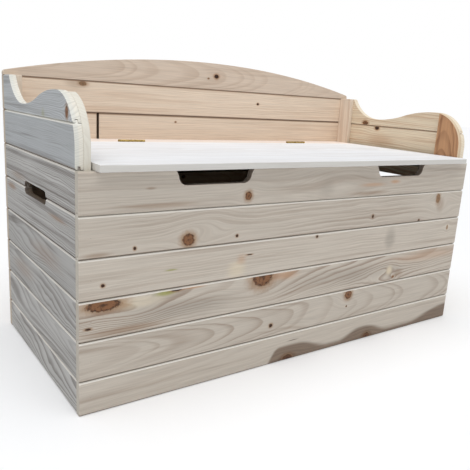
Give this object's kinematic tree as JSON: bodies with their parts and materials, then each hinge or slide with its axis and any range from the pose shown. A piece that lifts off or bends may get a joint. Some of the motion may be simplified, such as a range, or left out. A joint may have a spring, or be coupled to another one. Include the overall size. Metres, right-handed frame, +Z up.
{
  "type": "toy box bench",
  "caption": "Board-built wooden toy box that doubles as a bench, with curved arms, an arched back, hand holes and a lid on two butt hinges.",
  "frame": {"origin": "centre of the bounding box's footprint on the floor", "axes": "+X along the width, towards the right seen from the front; front at -Y; +Z up"},
  "size_m": [1, 0.478, 0.616],
  "materials": {
    "board_wood": "planed, unfinished",
    "back_wood": "planed, unfinished",
    "post_wood": "planed, unfinished",
    "inner_wood": "sawn, unfinished",
    "lid_wood": "planed, unfinished",
    "hinge_brass": "brass-plated",
    "nail_steel": "bright"
  },
  "bodies": {
    "chest": {"front_board_1": "board_wood", "front_board_2": "board_wood", "front_board_3": "board_wood", "front_board_4": "board_wood", "front_board_5": "board_wood", "front_board_6": "board_wood", "back_board_1": "back_wood", "back_board_2": "back_wood", "back_board_3": "back_wood", "back_board_4": "back_wood", "back_board_5": "back_wood", "back_board_6": "back_wood", "back_board_7_left": "back_wood", "back_board_7_right": "back_wood", "back_board_8": "back_wood", "back_arch": "back_wood", "left_board_1": "board_wood", "left_board_2": "board_wood", "left_board_3": "board_wood", "left_board_4": "board_wood", "left_board_5": "board_wood", "left_board_6": "board_wood", "left_board_7": "board_wood", "left_arm": "board_wood", "right_board_1": "board_wood", "right_board_2": "board_wood", "right_board_3": "board_wood", "right_board_4": "board_wood", "right_board_5": "board_wood", "right_board_6": "board_wood", "right_board_7": "board_wood", "right_arm": "board_wood", "post_front_left": "post_wood", "post_front_right": "post_wood", "post_rear_left": "post_wood", "post_rear_right": "post_wood", "back_batten_left": "inner_wood", "back_batten_right": "inner_wood", "floor_panel": "inner_wood", "floor_cleat_front": "inner_wood", "floor_cleat_back": "inner_wood", "floor_cleat_left": "inner_wood", "floor_cleat_right": "inner_wood", "hinge_rail": "lid_wood", "rail_cleat": "inner_wood", "hinge_left_fixed_leaf": "hinge_brass", "hinge_left_pin": "nail_steel", "hinge_right_fixed_leaf": "hinge_brass", "hinge_right_pin": "nail_steel", "hinge_screws_fixed": "hinge_brass", "brads_front": "nail_steel", "brads_back": "nail_steel", "brads_left": "nail_steel", "brads_right": "nail_steel"},
    "lid": {"lid_panel": "lid_wood", "lid_batten_left": "inner_wood", "lid_batten_right": "inner_wood", "hinge_left_moving_leaf": "hinge_brass", "hinge_right_moving_leaf": "hinge_brass", "hinge_screws_moving": "hinge_brass"}
  },
  "joints": [
    {"name": "lid_hinge", "type": "hinge", "parent": "chest", "child": "lid", "pos_m": [0, 0.1416, 0.4257], "axis": [-1, 0, 0], "range_deg": [0, 111]}
  ]
}
